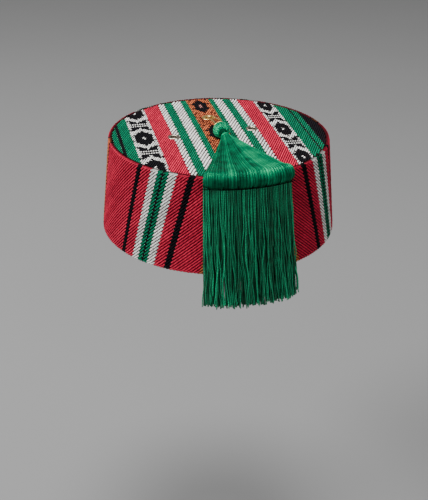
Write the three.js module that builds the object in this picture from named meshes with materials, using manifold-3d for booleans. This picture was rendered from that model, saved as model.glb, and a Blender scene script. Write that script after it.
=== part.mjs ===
// A low, flared fez: a flat round crown set inside an upright side band, three metal eyelets in
// the crown, and a silk tassel that is hooked into the front eyelet, lies over the crown and its
// back edge, and hangs down past the rim.
// Units are millimetres. +Z is up, +Y is the back of the hat, where the tassel hangs, and the
// origin is the centre of the head opening, in the plane of the rim's lower edge.
import * as THREE from "three";
import { mergeVertices } from "three/addons/utils/BufferGeometryUtils.js";
import Module from "manifold-3d";

const wasm = await Module();
wasm.setup();

// The hat
const RIM_RADIUS = 95.2; // outside of the band at its lower edge
const TOP_RADIUS = 88; // outside of the band at its top edge
const HEIGHT = 76.7;
const BAND_WALL = 3;
const HEM_ROUNDING = 0.7;
const CROWN_THICKNESS = 2.4;
const CROWN_EDGE_DROP = 1.1; // how far the crown's edge lies below the rolled top of the band
const CROWN_DOME = 1.3; // how far the crown's middle rises above its edge
const SEAM_GAP = 0.3; // air between pieces that lie against each other
const RING_SEGMENTS = 96;

// The eyelets: the place of each on the crown and the radius of its flange
const EYELETS = [
  { name: "eyelet_left", x: 37, y: 3, flange: 5 },
  { name: "eyelet_right", x: -28, y: -4, flange: 5 },
  { name: "eyelet_front", x: 1.2, y: -35.5, flange: 5.8 },
];
const EYELET_BORE = 2.6;
const EYELET_BARREL = 3.2;
const EYELET_HOLE = 3.6; // the hole in the crown's cloth
const EYELET_RISE = 1.2;
const EYELET_SEGMENTS = 24;

// The tassel's head: a silk-wound ball with a gold cap and eye on its front
const BALL_RADIUS = 6.6;
const BALL_X = 0.5;
const BALL_Y = 11.4;
const BALL_Z = HEIGHT + 7.1;
const CAP_MOUTH = 4.2;
const CAP_NOSE = 2.1;
const CAP_LENGTH = 3.2;
const EYE_RADIUS = 2.2;
const WIRE_RADIUS = 0.6;

// The fan of strands, the roll that they form over the crown's edge, and the fringe below it
const TASSEL_LEFT = THREE.MathUtils.degToRad(-19); // from the back, positive to the wearer's right
const TASSEL_RIGHT = THREE.MathUtils.degToRad(24);
const NECK_X = -1.4;
const NECK_Y = 18.5;
const NECK_HALF_WIDTH = 3.4;
const FAN_BASE = HEIGHT + 0.6; // underside of the fan, just clear of the crown
const FAN_EDGE_RADIUS = 87.7; // where the fan turns into the roll
const ROLL_RADIUS = 6.8;
const ROLL_CENTRE_RADIUS = 89.5;
const ROLL_CENTRE_Z = HEIGHT - 1.2;
const ROLL_BOTTOM_Z = HEIGHT - 7.9;
const BAND_CLEARANCE = 0.45; // between the strands and the side band
const FRINGE_TOP_Z = ROLL_BOTTOM_Z - SEAM_GAP - 0.1;
const FRINGE_BOTTOM_Z = -22;
const FRINGE_TOP_THICKNESS = 5.6;
const FRINGE_BOTTOM_THICKNESS = 9;
const FRINGE_FOOT_LEFT = THREE.MathUtils.degToRad(-16.6);
const FRINGE_FOOT_RIGHT = THREE.MathUtils.degToRad(23.6);
const FAN_SECTIONS = 21;
const FRINGE_SECTIONS = 17;
const FRINGE_ROWS = 9;

const COLOURS = {
  cloth: { color: 0xb02838, roughness: 0.9, metalness: 0 },
  metal: { color: 0xb5a58c, roughness: 0.3, metalness: 1 },
  gold: { color: 0xd9b45c, roughness: 0.25, metalness: 1 },
  silk: { color: 0x0b7a4b, roughness: 0.45, metalness: 0 },
};

const { lerp } = THREE.MathUtils;
const bandRadius = (z) => lerp(RIM_RADIUS, TOP_RADIUS, z / HEIGHT);
const crownRadius = bandRadius(HEIGHT - CROWN_EDGE_DROP) - BAND_WALL - SEAM_GAP;
const crownTop = (radius) =>
  HEIGHT - CROWN_EDGE_DROP + CROWN_DOME * (1 - (radius / crownRadius) ** 2);

// Points of an arc in a profile, from one angle to another, in degrees.
function arc(radius, height, r, from, to, steps) {
  return Array.from({ length: steps + 1 }, (_, i) => {
    const angle = THREE.MathUtils.degToRad(lerp(from, to, i / steps));
    return [radius + r * Math.cos(angle), height + r * Math.sin(angle)];
  });
}

// The solid that a profile of [radius, height] points makes when it is turned about Z.
function turned(profile, segments) {
  const points = profile.map(([radius, height]) => new THREE.Vector2(radius, height));
  return new THREE.LatheGeometry(points, segments).rotateX(Math.PI / 2);
}

// A closed solid through rings of points, each ring a closed outline with the same count.
function lofted(rings) {
  const count = rings[0].length;
  const triangles = [];
  for (let i = 0; i + 1 < rings.length; i++)
    for (let j = 0; j < count; j++) {
      const k = (j + 1) % count;
      const [a, b] = [i * count + j, i * count + k];
      triangles.push(a, b, a + count, b, b + count, a + count);
    }
  const cover = (ring, first, reversed) => {
    const outline = ring.map(({ across, up }) => new THREE.Vector2(across, up));
    const turn = THREE.ShapeUtils.isClockWise(outline) !== reversed;
    for (const [a, b, c] of THREE.ShapeUtils.triangulateShape(outline, []))
      triangles.push(first + a, first + (turn ? c : b), first + (turn ? b : c));
  };
  cover(rings[0], 0, true);
  cover(rings[rings.length - 1], (rings.length - 1) * count, false);
  const places = rings.flatMap((ring) => ring.map(({ place }) => place));
  return new THREE.BufferGeometry().setFromPoints(places).setIndex(triangles);
}

function toSolid(geometry) {
  const bare = geometry.index ? geometry.toNonIndexed() : geometry.clone();
  bare.deleteAttribute("normal");
  bare.deleteAttribute("uv");
  const merged = mergeVertices(bare, 1e-3);
  return new wasm.Manifold(
    new wasm.Mesh({
      numProp: 3,
      vertProperties: merged.attributes.position.array,
      triVerts: new Uint32Array(merged.index.array),
    }),
  );
}

function toGeometry(solid) {
  const { vertProperties, triVerts } = solid.getMesh();
  return new THREE.BufferGeometry()
    .setAttribute("position", new THREE.BufferAttribute(vertProperties, 3))
    .setIndex(new THREE.BufferAttribute(triVerts, 1));
}

function piece(name, geometry, finish) {
  const mesh = new THREE.Mesh(geometry, new THREE.MeshStandardMaterial(finish));
  mesh.name = name;
  return mesh;
}

// The upright wall: a flared ring with a small hem rounding and a top edge that is rolled over.
function sideBand() {
  const lip = BAND_WALL / 2;
  const lipZ = HEIGHT - lip;
  const profile = [
    ...arc(RIM_RADIUS - HEM_ROUNDING, HEM_ROUNDING, HEM_ROUNDING, -90, 0, 2),
    ...arc(bandRadius(lipZ) - lip, lipZ, lip, 0, 180, 8),
    ...arc(RIM_RADIUS - BAND_WALL + HEM_ROUNDING, HEM_ROUNDING, HEM_ROUNDING, 180, 270, 2),
  ];
  return piece("side_band", turned([...profile, profile[0]], RING_SEGMENTS), COLOURS.cloth);
}

// The flat round top: a slightly domed disc with a hole for each eyelet.
function crown() {
  const stations = [0, 0.25, 0.5, 0.75, 1].map((share) => share * crownRadius);
  const top = stations.map((radius) => [radius, crownTop(radius)]);
  const underside = top.map(([radius, height]) => [radius, height - CROWN_THICKNESS]);
  let disc = toSolid(turned([...underside, ...top.reverse()], RING_SEGMENTS));
  for (const { x, y } of EYELETS) {
    const depth = 4 * CROWN_THICKNESS;
    const drill = new THREE.CylinderGeometry(EYELET_HOLE, EYELET_HOLE, depth, EYELET_SEGMENTS)
      .rotateX(Math.PI / 2)
      .translate(x, y, crownTop(Math.hypot(x, y)));
    disc = disc.subtract(toSolid(drill));
  }
  return piece("crown_top", toGeometry(disc), COLOURS.cloth);
}

// A pressed eyelet: a rounded flange on the cloth, a barrel through it and a flange beneath.
function eyelet({ name, x, y, flange }) {
  const under = -CROWN_THICKNESS - SEAM_GAP;
  const crest = (flange + EYELET_BORE) / 2;
  const profile = [
    [EYELET_BORE, under - 0.7],
    [flange - 0.6, under - 0.7],
    [flange - 0.4, under],
    [EYELET_BARREL, under],
    [EYELET_BARREL, SEAM_GAP],
    [flange, SEAM_GAP],
    [flange - 0.15, EYELET_RISE * 0.7],
    [crest + 0.45, EYELET_RISE],
    [crest - 0.35, EYELET_RISE],
    [EYELET_BORE + 0.2, EYELET_RISE * 0.75],
    [EYELET_BORE, EYELET_RISE * 0.4],
  ];
  const mesh = piece(name, turned([...profile, profile[0]], EYELET_SEGMENTS), COLOURS.metal);
  mesh.position.set(x, y, crownTop(Math.hypot(x, y)));
  return mesh;
}

// A bent wire: two legs that pass down through the front eyelet, where their ends are spread,
// and one bend that holds the cap's eye. Each row is one leg's place, measured from the bend's
// own middle line: along the hat, sideways from that line, and up from the crown's plane.
function loop() {
  const front = EYELETS.find(({ name }) => name === "eyelet_front");
  const leg = [
    { middle: front.x, y: front.y, side: 3.1, up: -5.6 },
    { middle: front.x, y: front.y, side: 1.3, up: -3.6 },
    { middle: front.x, y: front.y + 0.1, side: 1.3, up: 0.6 },
    { middle: 0.9, y: -31.5, side: 2.1, up: 3.0 },
    { middle: 0.1, y: -22, side: 3.0, up: 4.4 },
    { middle: -0.8, y: -11, side: 3.0, up: 6.2 },
    { middle: -0.2, y: -2.6, side: 2.3, up: 7.0 },
  ];
  const bend = { middle: BALL_X, y: -0.2, side: 0, up: 7.1 };
  const along = (sign) => ({ middle, y, side, up }) =>
    new THREE.Vector3(middle + sign * side, y, HEIGHT + up);
  const route = [...leg.map(along(1)), along(0)(bend), ...leg.map(along(-1)).reverse()];
  const wire = new THREE.Shape().absarc(0, 0, WIRE_RADIUS, 0, 2 * Math.PI);
  const geometry = new THREE.ExtrudeGeometry(wire, {
    steps: 72,
    curveSegments: 4,
    extrudePath: new THREE.CatmullRomCurve3(route, false, "centripetal"),
  });
  return piece("tassel_loop", geometry, COLOURS.gold);
}

// The cap that covers the ball's front, with the eye that the wire holds.
function cap() {
  const seat = BALL_RADIUS + SEAM_GAP;
  const mouthAngle = THREE.MathUtils.radToDeg(Math.asin(CAP_MOUTH / seat));
  const nose = seat + CAP_LENGTH;
  const profile = [
    ...arc(0, 0, seat, 90, 90 - mouthAngle, 5),
    [CAP_MOUTH + 0.4, seat * Math.cos(Math.asin(CAP_MOUTH / seat)) + 0.5],
    [CAP_NOSE + 0.9, nose - 1.4],
    [CAP_NOSE, nose - 0.3],
    [0, nose],
  ];
  const cup = turned(profile, EYELET_SEGMENTS);
  const eye = new THREE.TorusGeometry(EYE_RADIUS, WIRE_RADIUS, 8, EYELET_SEGMENTS)
    .rotateY(Math.PI / 2)
    .translate(0, 0, nose + EYE_RADIUS - WIRE_RADIUS);
  const joined = toGeometry(toSolid(cup).add(toSolid(eye)));
  const mesh = piece("tassel_cap", joined, COLOURS.gold);
  mesh.rotation.x = Math.PI / 2; // its nose points to the front of the hat
  mesh.position.set(BALL_X, BALL_Y, BALL_Z);
  return mesh;
}

function ball() {
  const mesh = piece("tassel_ball", new THREE.SphereGeometry(BALL_RADIUS, 24, 16), COLOURS.silk);
  mesh.position.set(BALL_X, BALL_Y, BALL_Z);
  return mesh;
}

// A place at an angle round the hat from its back, positive to the wearer's right.
const around = (angle, radius, z) =>
  new THREE.Vector3(-radius * Math.sin(angle), radius * Math.cos(angle), z);

// The strands on the crown and the roll over its edge, as one form. Its sections stand side by
// side across the tassel. Each runs out along the top, round the roll, up the band's wall and
// back under the strands.
function fan() {
  const thickness = [
    { along: 0, height: 6.6 },
    { along: 0.2, height: 5.2 },
    { along: 0.45, height: 4.1 },
    { along: 0.75, height: 4.2 },
    { along: 1, height: 4.8 },
  ];
  const section = (share) => {
    const side = 2 * share - 1;
    const fullness = Math.sqrt(1 - 0.72 * side ** 4);
    const angle = lerp(TASSEL_LEFT, TASSEL_RIGHT, share);
    const neck = new THREE.Vector3(NECK_X - side * NECK_HALF_WIDTH, NECK_Y, 0);
    const edge = around(angle, FAN_EDGE_RADIUS, 0);
    const length = neck.distanceTo(edge);
    const onFan = (along, height) => {
      const place = neck.clone().lerp(edge, along).setZ(FAN_BASE + height);
      return { place, across: along * length, up: height };
    };
    const onRoll = ([radius, z]) => ({
      place: around(angle, radius, z),
      across: length + radius - FAN_EDGE_RADIUS,
      up: z - FAN_BASE,
    });
    const rollRadius = ROLL_RADIUS * lerp(0.7, 1, fullness);
    const roll = arc(ROLL_CENTRE_RADIUS, ROLL_CENTRE_Z, rollRadius, 95, -70, 9);
    const inner = [ROLL_BOTTOM_Z, HEIGHT - 2, FAN_BASE]
      .map((z) => [bandRadius(Math.min(z, HEIGHT)) + BAND_CLEARANCE, z]);
    return [
      ...thickness.map(({ along, height }) => onFan(along, height * fullness)),
      ...roll.map(onRoll),
      ...inner.map(onRoll),
      ...[0.9, 0.5, 0].map((along) => onFan(along, 0)),
    ];
  };
  const shares = Array.from({ length: FAN_SECTIONS }, (_, i) => i / (FAN_SECTIONS - 1));
  return piece("tassel_fan", lofted(shares.map(section)), COLOURS.silk);
}

// The hanging strands, as one form: a thick curtain that follows the band and ends below the rim.
function fringe() {
  const stations = Array.from({ length: FRINGE_ROWS }, (_, i) => i / (FRINGE_ROWS - 1));
  const section = (share) => {
    const side = 2 * share - 1;
    const fullness = Math.sqrt(1 - 0.6 * side ** 4);
    const wall = (outward) =>
      stations.map((down) => {
        const z = lerp(FRINGE_TOP_Z, FRINGE_BOTTOM_Z, down);
        const left = lerp(TASSEL_LEFT, FRINGE_FOOT_LEFT, down);
        const right = lerp(TASSEL_RIGHT, FRINGE_FOOT_RIGHT, down);
        const thickness = lerp(FRINGE_TOP_THICKNESS, FRINGE_BOTTOM_THICKNESS, down) * fullness;
        const radius = bandRadius(z) + BAND_CLEARANCE + outward * thickness;
        return { place: around(lerp(left, right, share), radius, z), across: radius, up: z };
      });
    return [...wall(1), ...wall(0).reverse()];
  };
  const shares = Array.from({ length: FRINGE_SECTIONS }, (_, i) => i / (FRINGE_SECTIONS - 1));
  return piece("tassel_fringe", lofted(shares.map(section)), COLOURS.silk);
}

const hat = new THREE.Group();
hat.add(sideBand(), crown(), ...EYELETS.map(eyelet));
const tassel = new THREE.Group();
tassel.add(loop(), cap(), ball(), fan(), fringe());
hat.add(tassel);

export default hat;
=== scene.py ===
"""Dresses the fez: ribbed striped cloth on its band and crown, metal eyelets, and a silk tassel.

The sizes that the pieces share come from the frame. Lengths in this file are in metres unless a
name ends in _mm. +Z is up, +Y is the back of the hat, and +X is the wearer's left.
"""

from math import asin, atan2, cos, degrees, pi, radians, sin, sqrt, tan, tau

import bpy
import numpy as np
from mathutils import Matrix, Vector


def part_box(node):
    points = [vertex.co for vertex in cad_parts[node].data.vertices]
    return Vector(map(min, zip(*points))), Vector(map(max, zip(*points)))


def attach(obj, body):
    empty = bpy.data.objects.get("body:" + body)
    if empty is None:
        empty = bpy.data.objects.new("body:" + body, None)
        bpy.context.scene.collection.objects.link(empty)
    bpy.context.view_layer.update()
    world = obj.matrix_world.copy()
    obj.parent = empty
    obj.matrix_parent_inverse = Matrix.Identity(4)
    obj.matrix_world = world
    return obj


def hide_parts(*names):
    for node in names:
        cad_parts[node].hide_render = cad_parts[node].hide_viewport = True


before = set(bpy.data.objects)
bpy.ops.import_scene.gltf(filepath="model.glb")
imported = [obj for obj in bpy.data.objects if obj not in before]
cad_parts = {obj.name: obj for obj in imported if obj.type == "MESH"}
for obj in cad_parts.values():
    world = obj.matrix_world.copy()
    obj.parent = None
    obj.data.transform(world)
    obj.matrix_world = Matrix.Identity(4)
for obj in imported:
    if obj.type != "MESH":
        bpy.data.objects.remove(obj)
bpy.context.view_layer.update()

bl_info = {
    "name": "Tasselled Fez",
    "version": (1, 0, 0),
    "blender": (4, 5, 0),
    "location": "View3D > Sidebar > Fez",
    "description": "Builds the cloth, eyelets and tassel of a striped fez around its frame",
    "category": "Add Mesh",
}

MM = 0.001
BODY = "root"

# What the frame says: the band's outline, the crown and the places of the tassel's head.
BAND_LOW, BAND_HIGH = np.array(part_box("side_band"))
RIM_RADIUS = (BAND_HIGH[0] - BAND_LOW[0]) / 2
HEIGHT = BAND_HIGH[2]
TOP_RADIUS = RIM_RADIUS - 7.2 * MM
WALL = 3.0 * MM
HEM_ROUND = 1.4 * MM
LIP_ROUND = 1.5 * MM
CONE = atan2(RIM_RADIUS - TOP_RADIUS, HEIGHT)  # the wall's lean
CROWN_LOW, CROWN_HIGH = np.array(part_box("crown_top"))
CROWN_RADIUS = (CROWN_HIGH[0] - CROWN_LOW[0]) / 2
CROWN_DOME = 1.3 * MM
CROWN_EDGE_Z = CROWN_HIGH[2] - CROWN_DOME
BALL_LOW, BALL_HIGH = np.array(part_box("tassel_ball"))
BALL = (BALL_LOW + BALL_HIGH) / 2
BALL_RADIUS = (BALL_HIGH[0] - BALL_LOW[0]) / 2

# The cloth: yarns by number, and the stripe charts. A stripe row is (the edge it ends at, yarn).
YARNS = ("red", "green", "white", "black", "orange", "pink", "brown")
RED, GREEN, WHITE, BLACK, ORANGE, PINK, BROWN = range(7)
WOOL_ROUGH = (0.8, 0.95)
WOOL_SHINE = 0.1
SEAM_TURN = radians(4.5)  # the back seam, from +Y towards the wearer's right
BAND_MIRROR_MM = 128.0  # the stripes repeat to both sides of this line
BAND_STRIPES_MM = (
    *((5.0, ORANGE), (7.0, BLACK), (56.0, RED), (60.0, BLACK), (69.0, RED), (75.0, WHITE)),
    *((78.8, GREEN), (80.2, BLACK), (84.0, GREEN), (90.5, WHITE), (99.3, RED), (104.0, BLACK)),
    *((127.0, RED), (132.0, ORANGE), (136.0, BLACK), (200.0, RED)),
)
CROWN_STRIPES_MM = (
    *((-75.9, BLACK), (-71.2, GREEN), (-69.9, BLACK), (-60.4, GREEN), (-45.6, WHITE)),
    *((-32.4, RED), (-26.75, WHITE), (-20.1, GREEN), (-12.4, WHITE), (-7.9, GREEN)),
    *((11.9, ORANGE), (16.9, GREEN), (25.0, WHITE), (32.1, GREEN), (37.4, WHITE)),
    *((51.0, RED), (69.5, WHITE), (77.6, GREEN), (80.2, BLACK), (84.5, GREEN), (99.0, BLACK)),
)
# Motifs, charted for a quarter: a row for each step away from the middle row, and a letter for
# each step from the motif's middle line to its edge.
ROW_MM = 1.6
LETTERS = {"w": WHITE, "b": BLACK, "o": ORANGE, "p": PINK, "n": BROWN}
DIAMOND = (
    "wbbbw wbbbw bbbbw bbbbb bbbbw bbbbw bbbww bbbww bbwww bwwww "
    "bwwww wwwbb wwbbb wbbbw wbbbw bbbbw bbbbw wwwww bbbbw bbbbw"
).split()
BROAD = (
    "pbboo pbboo pbboo bbbbo bbbbn bbboo bbboo bbooo bboon bnooo boono "
    "noono oonon onoon noono oonoo onoon noono oonon onono nonoo nonoo"
).split()
# The stripes that hold a motif: their edges, its chart, its repeat and where it starts.
CROWN_MOTIFS = (
    (-60.4, -45.6, DIAMOND, 58.8, 0.2),
    (-7.9, 11.9, BROAD, 65.0, -0.5),
    (51.0, 69.5, DIAMOND, 58.8, 0.2),
)

# The tassel: angles from +Y towards the wearer's right.
TASSEL_LEFT = radians(-19)
TASSEL_RIGHT = radians(24)
NECK = np.array([-1.4, 18.5, 0]) * MM
NECK_HALF_WIDTH = 3.4 * MM
FAN_BASE = HEIGHT + 0.6 * MM
FAN_EDGE_RADIUS = TOP_RADIUS - 0.3 * MM
ROLL_RADIUS = 7.1 * MM
ROLL_CENTRE_RADIUS = TOP_RADIUS + 1.5 * MM
ROLL_CENTRE_Z = HEIGHT - 1.2 * MM
ROLL_BOTTOM_Z = HEIGHT - 7.9 * MM
OUTER_LAYER = 3
FRINGE_BOTTOM_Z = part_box("tassel_fringe")[0][2]
FRINGE_FOOT_LEFT = radians(-17.4)
FRINGE_FOOT_RIGHT = radians(25.6)

# The fringe's cords, for the hidden layers and then for the shown ones.
FOOT_STRAY = (0.01, 0.032)  # of the fringe's width
END_RISE_MM = ((-2.6, 0.2), (-1.2, 3.2))
CORD_PLUMP = (1.25, 1.0)
STRAY_CHANCE = 0.04
SHORT_CHANCE = 0.08

EYELETS = {"vent_left": "eyelet_left", "vent_right": "eyelet_right", "vent_front": "eyelet_front"}
EYELET_HOLE = 3.6 * MM
EYELET_BORE = 2.6 * MM

# The stage: the camera's place from the hat's axis and top, where it looks, and its lens.
CAMERA_PLACE_MM = (155.6, 714.9, 280.5)
CAMERA_PITCH, CAMERA_HEADING, CAMERA_ROLL = (radians(a) for a in (27.81, 12.04, 0.55))
LENS_MM, SENSOR_MM = 70.1, 36
FLOOR_Z = -0.3
SKY_STRENGTH = 0.27
# A row is a lamp's name, place, width and power.
LAMPS = (
    ("key", (1.6, 0.1, 1.55), 1.0, 50.0),
    ("top", (0.0, -0.2, 1.95), 0.9, 34.0),
    ("fill", (-0.6, 2.4, 1.2), 1.6, 6.0),
)


def colour(name, description, default):
    return bpy.props.FloatVectorProperty(
        name=name, description=description, default=default, subtype="COLOR", size=3, min=0, max=1
    )


def length(name, description, default_mm):
    return bpy.props.FloatProperty(
        name=name, description=description, default=default_mm * MM, unit="LENGTH", min=0
    )


def bearing(name, description, default_degrees):
    return bpy.props.FloatProperty(
        name=name, description=description, default=radians(default_degrees), unit="ROTATION"
    )


def tally(name, description, default, least):
    return bpy.props.IntProperty(name=name, description=description, default=default, min=least)


class FezColours(bpy.types.PropertyGroup):
    """Dyes of the yarns and finishes of the metal"""

    red: colour("Red Yarn", "Dye of the red yarn", (0.66, 0.024, 0.066))
    green: colour("Green Yarn", "Dye of the green yarn", (0.002, 0.19, 0.09))
    white: colour("White Yarn", "Colour of the undyed yarn", (0.97, 0.95, 0.91))
    black: colour("Black Yarn", "Dye of the black yarn", (0.007, 0.006, 0.009))
    orange: colour("Orange Yarn", "Dye of the orange yarn", (0.60, 0.15, 0.06))
    pink: colour("Pink Yarn", "Faded yarn round the orange motifs", (0.55, 0.22, 0.2))
    brown: colour("Brown Yarn", "Dark yarn in the orange stripe", (0.10, 0.015, 0.01))
    silk: colour("Tassel Silk", "Dye of the tassel", (0.007, 0.66, 0.29))
    # Besides darker lots, this dark silk paints shade: in the fan's partings, on the cores under
    # the strands and on the hidden fringe cords.
    silk_shade: colour("Tassel Shade", "Darker lots of the tassel's silk", (0.001, 0.045, 0.022))
    stitch: colour("Stitches", "Dark thread under the roll", (0.0006, 0.012, 0.008))
    # On the front eyelet this gold is a painted reflection of the orange cloth round it.
    gold: colour("Gold", "The wire, the cap and the front eyelet", (1.0, 0.70, 0.24))
    nickel: colour("Eyelet Metal", "The two side eyelets", (0.50, 0.43, 0.34))
    floor: colour("Floor", "Plain floor under the hat", (0.285, 0.285, 0.285))


class FezSizes(bpy.types.PropertyGroup):
    """Sizes of the yarns and strands"""

    band_pitch: length("Band Rib Pitch", "Distance from rib to rib on the band", 1.9)
    crown_pitch: length("Crown Rib Pitch", "From rib to rib on the crown", 1.72)
    white_pitch: length("White Rib Pitch", "From rib to rib in the crown's white stripes", 2.4)
    band_rib_angle: bearing("Band Rib Angle", "The ribs' angle from the cross of the cloth", 55)
    crown_rib_angle: bearing("Crown Rib Angle", "The crown ribs' angle from +X", 64.5)
    fan_strands: tally("Fan Strands", "Strands in each layer of the fan", 120, 8)
    fan_locks: tally("Fan Locks", "Locks that the fan's strands gather in", 32, 4)
    cord_width: length("Fringe Cord", "Thickness of a cord of the fringe", 1.0)
    fringe_columns: tally("Fringe Columns", "Cords side by side in the fringe", 54, 8)
    seed: bpy.props.IntProperty(name="Seed", description="Seed of every random draw", default=7)


def colours():
    return bpy.context.scene.fez_colours


def sizes():
    return bpy.context.scene.fez_sizes


# ---- meshes


def link(name, mesh):
    piece = bpy.data.objects.new(name, mesh)
    bpy.context.scene.collection.objects.link(piece)
    return piece


def mesh_piece(name, points, faces, finish, smooth=True):
    mesh = bpy.data.meshes.new(name)
    mesh.from_pydata([tuple(point) for point in points], [], faces)
    mesh.validate()
    if smooth:
        mesh.shade_smooth()
    mesh.materials.append(finish)
    return link(name, mesh)


def settle(piece, slot, *replaced):
    """The finished piece rides on the hat, and stands for the nodes named."""
    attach(piece, BODY)
    if replaced:
        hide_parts(*replaced)
    return piece


def turned(profile, segments):
    """Points and faces of a (radius, height) profile turned about Z. An end on the axis closes."""
    points, rings = [], []
    for radius, height in profile:
        if radius < 1e-7:
            rings.append([len(points)] * segments)
            points.append((0, 0, height))
            continue
        rings.append(list(range(len(points), len(points) + segments)))
        for i in range(segments):
            angle = tau * i / segments
            points.append((radius * cos(angle), radius * sin(angle), height))
    closed = profile[0][0] > 1e-7
    pairs = zip(rings, rings[1:] + rings[:1]) if closed else zip(rings, rings[1:])
    faces = []
    for low, high in pairs:
        for i in range(segments):
            k = (i + 1) % segments
            corners = [low[i], low[k], high[k], high[i]]
            faces.append(tuple(dict.fromkeys(corners)))
    return points, faces


def arc(radius, height, r, start, end, steps):
    angles = np.radians(np.linspace(start, end, steps + 1))
    return [(radius + r * cos(a), height + r * sin(a)) for a in angles]


def placed(points, place, turn=Matrix.Identity(3)):
    return [turn @ Vector(point) + Vector(place) for point in points]


# ---- nodes


class Nodes:
    """Lays out the nodes of a geometry tree, a shader group or a material."""

    def __init__(self, tree):
        self.tree = tree

    def feed(self, socket, value):
        if isinstance(value, bpy.types.NodeSocket):
            self.tree.links.new(value, socket)
        else:
            socket.default_value = value

    def node(self, kind, inputs=(), **settings):
        """A node with its settings made, and its inputs fed by name or by number."""
        made = self.tree.nodes.new(kind)
        for key, value in settings.items():
            setattr(made, key, value)
        for key, value in dict(inputs).items():
            self.feed(made.inputs[key], value)
        return made

    def maths(self, operation, *values):
        return self.node("ShaderNodeMath", enumerate(values), operation=operation).outputs[0]

    def product(self, first, *others):
        for other in others:
            first = self.maths("MULTIPLY", first, other)
        return first

    def vectors(self, operation, *values):
        made = self.node("ShaderNodeVectorMath", enumerate(values), operation=operation)
        return made.outputs["Value" if operation == "DOT_PRODUCT" else "Vector"]

    def scaled(self, vector, by):
        inputs = {0: vector, "Scale": by}
        return self.node("ShaderNodeVectorMath", inputs, operation="SCALE").outputs[0]

    def turn_of(self, vector):
        """The angle of a vector's X and Y."""
        parts = self.node("ShaderNodeSeparateXYZ", {0: vector}).outputs
        return self.maths("ARCTAN2", parts[1], parts[0])

    def attribute(self, name, output="Fac"):
        return self.node("ShaderNodeAttribute", attribute_name=name).outputs[output]

    def object_place(self):
        return self.node("ShaderNodeTexCoord").outputs["Object"]

    def noise(self, scale, detail):
        inputs = {"Scale": scale, "Detail": detail, "Vector": self.object_place()}
        return self.node("ShaderNodeTexNoise", inputs).outputs["Fac"]

    def span(self, value, low, high, out_low=0.0, out_high=1.0):
        names = ("Value", "From Min", "From Max", "To Min", "To Max")
        inputs = zip(names, (value, low, high, out_low, out_high))
        return self.node("ShaderNodeMapRange", inputs).outputs["Result"]

    def varied(self, noise, low, high):
        """From low to high over the range that a noise mostly keeps to."""
        return self.span(noise, 0.3, 0.7, low, high)

    def mix(self, share, first, second):
        inputs = {0: share, 6: (*first, 1.0), 7: (*second, 1.0)}
        return self.node("ShaderNodeMix", inputs, data_type="RGBA").outputs[2]

    def dimmed(self, tone, light):
        inputs = {"Color": tone, "Value": light}
        return self.node("ShaderNodeHueSaturation", inputs).outputs["Color"]

    def bump(self, height, distance, strength):
        inputs = {"Height": height, "Distance": distance, "Strength": strength}
        return self.node("ShaderNodeBump", inputs).outputs["Normal"]

    def dress(self, tone, rough, normal=None, shine=0.5, metallic=0.0):
        """Feed a material's shader."""
        inputs = self.tree.nodes["Principled BSDF"].inputs
        self.feed(inputs["Base Color"], tone)
        self.feed(inputs["Roughness"], rough)
        inputs["Specular IOR Level"].default_value = shine
        inputs["Metallic"].default_value = metallic
        if normal:
            self.feed(inputs["Normal"], normal)


def new_group(name, kind, inputs, outputs):
    """A node group with its (name, kind, default) inputs and (name, kind) outputs."""
    tree = bpy.data.node_groups.new(name, kind)
    for way, sockets in (("INPUT", inputs), ("OUTPUT", outputs)):
        for title, kind_of_socket, *default in sockets:
            made = tree.interface.new_socket(
                title, in_out=way, socket_type="NodeSocket" + kind_of_socket
            )
            if default:
                made.default_value = default[0]
    n = Nodes(tree)
    return tree, n, n.node("NodeGroupInput").outputs, n.node("NodeGroupOutput").inputs


# ---- cords

CORD_INPUTS = (
    ("Lines", "Geometry"),
    ("Sides", "Int", 6),
    ("Lobes", "Int", 2),
    ("Lobe Depth", "Float", 0.0),
    ("Turns per Metre", "Float", 0.0),
    ("Sway", "Float", 0.0),
    ("Sway per Metre", "Float", 30.0),
    ("Seed", "Int", 1),
    ("Finish", "Material"),
)
# What a cord has at each point, unless it says otherwise. Outwards is the way its crest faces.
LINE_DEFAULTS = {"thickness": 0, "yarn": 0, "lot": 0, "loose": 0, "outwards": (0, 0, 1)}


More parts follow.
